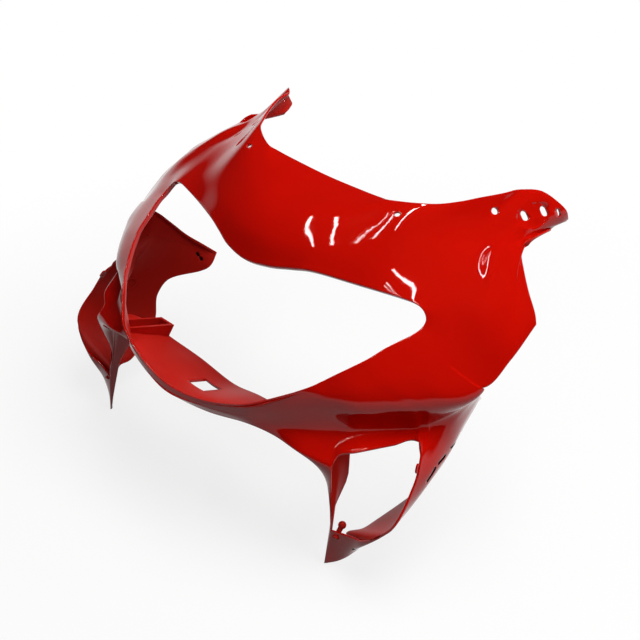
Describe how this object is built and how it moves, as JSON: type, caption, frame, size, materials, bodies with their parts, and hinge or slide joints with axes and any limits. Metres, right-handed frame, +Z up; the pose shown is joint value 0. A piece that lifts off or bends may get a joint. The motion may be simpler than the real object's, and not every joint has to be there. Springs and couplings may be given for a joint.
{
  "type": "motorcycle front fairing",
  "caption": "Front upper fairing of a sports motorcycle: one thin painted shell round a wide headlight opening, with mirror ears, side ducts, wings and a chin.",
  "frame": {"origin": "under the middle of the part's box, at the height of the duct fins' tips", "axes": "+X to the rider's left, -Y forward, +Z up, in the stance that the part has in the picture"},
  "size_m": [0.553, 0.3732, 0.3274],
  "materials": {
    "painted_shell": "high gloss paint outside, satin inside"
  },
  "bodies": {
    "root": {"fairing_shell": "painted_shell"}
  },
  "joints": []
}
